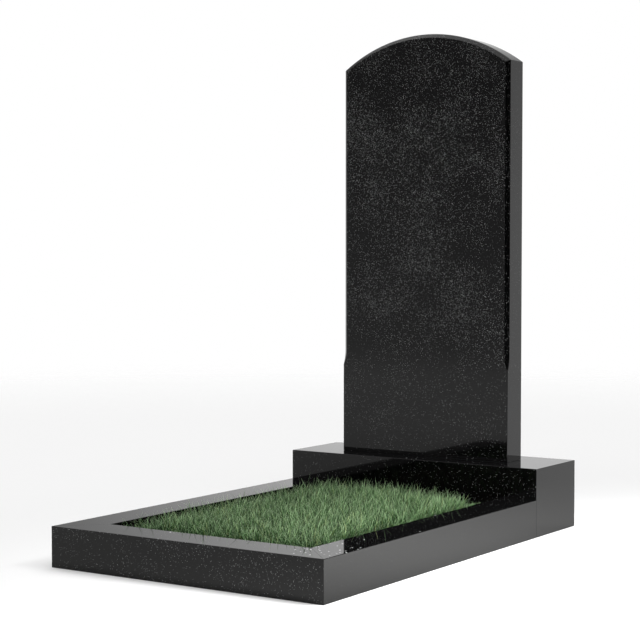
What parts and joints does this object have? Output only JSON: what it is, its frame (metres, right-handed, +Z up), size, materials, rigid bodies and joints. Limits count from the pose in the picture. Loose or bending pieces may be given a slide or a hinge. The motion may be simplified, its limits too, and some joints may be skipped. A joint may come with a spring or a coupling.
{
  "type": "headstone",
  "caption": "Polished black granite headstone with an arched, chamfered stele on a stand block, and a kerb-framed bed of turf in front.",
  "frame": {"origin": "on the ground, in the middle of the set's plan", "axes": "+Z up, -Y towards the front of the bed, +Y towards the stele, +X to the right when facing the stele"},
  "size_m": [0.665, 1.065, 1.1553],
  "materials": {
    "polished_granite": "polished",
    "turf": "matte"
  },
  "bodies": {
    "root": {"stele": "polished_granite", "stand": "polished_granite", "kerb_front": "polished_granite", "kerb_left": "polished_granite", "kerb_right": "polished_granite", "turf": "turf"}
  },
  "joints": []
}
